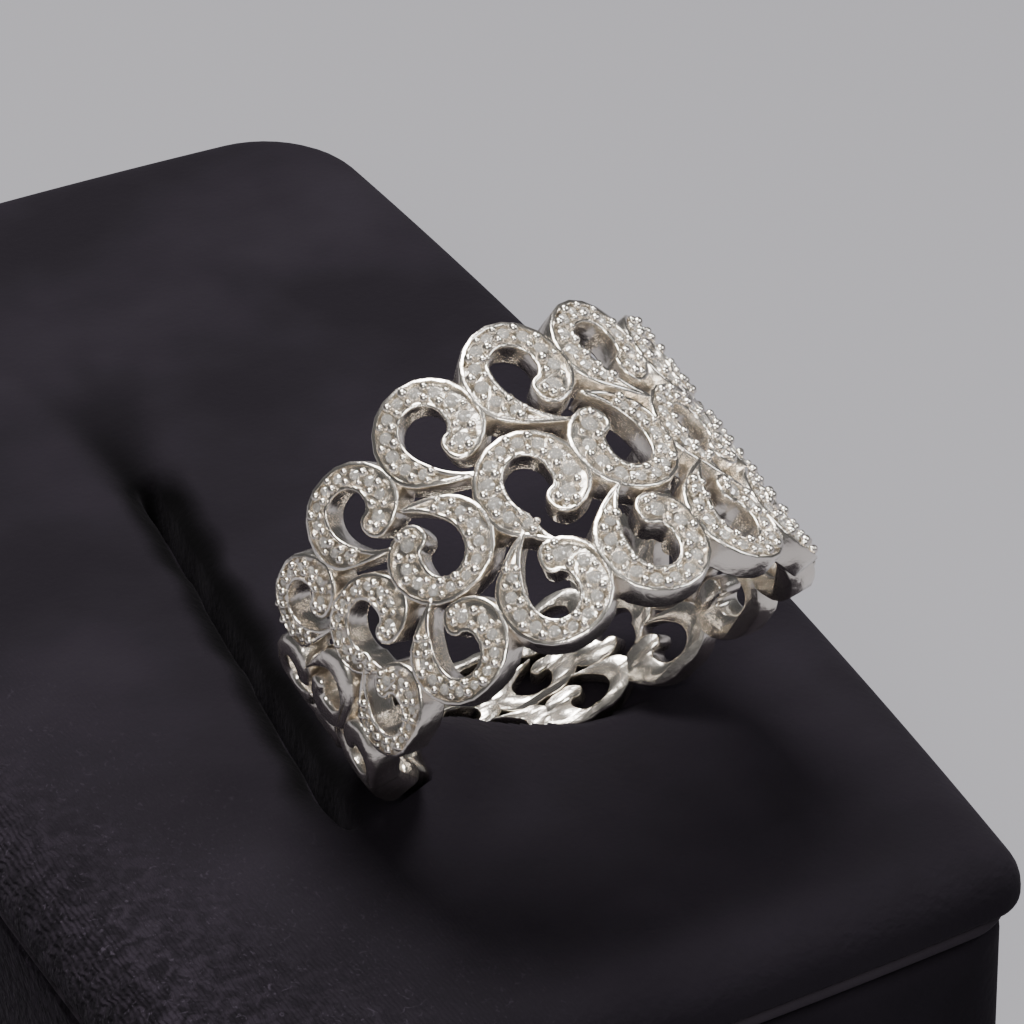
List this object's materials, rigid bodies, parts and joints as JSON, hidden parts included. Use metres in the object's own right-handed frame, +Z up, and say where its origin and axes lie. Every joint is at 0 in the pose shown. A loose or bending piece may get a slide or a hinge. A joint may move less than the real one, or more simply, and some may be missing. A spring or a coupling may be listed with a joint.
{
  "type": "scrollwork dress ring on a fabric display block",
  "caption": "Wide pierced ring of curled scrolls set with small clear stones, narrowing to the back, standing in the slit of a dark fabric display block.",
  "frame": {"origin": "middle of the display block's bottom face, on the surface that it stands on", "axes": "+Z up, +Y along the block away from the ring's end, the front end of the block and the open front of the ring face -Y"},
  "size_m": [0.0388, 0.0709, 0.0506],
  "materials": {
    "white_gold": "polished cast white gold",
    "clear_stone": "faceted, clear",
    "block_fabric": "dark soft-napped fabric, matt"
  },
  "bodies": {
    "root": {"scroll_band": "white_gold", "pave_stones": "clear_stone", "display_block": "block_fabric"}
  },
  "joints": []
}
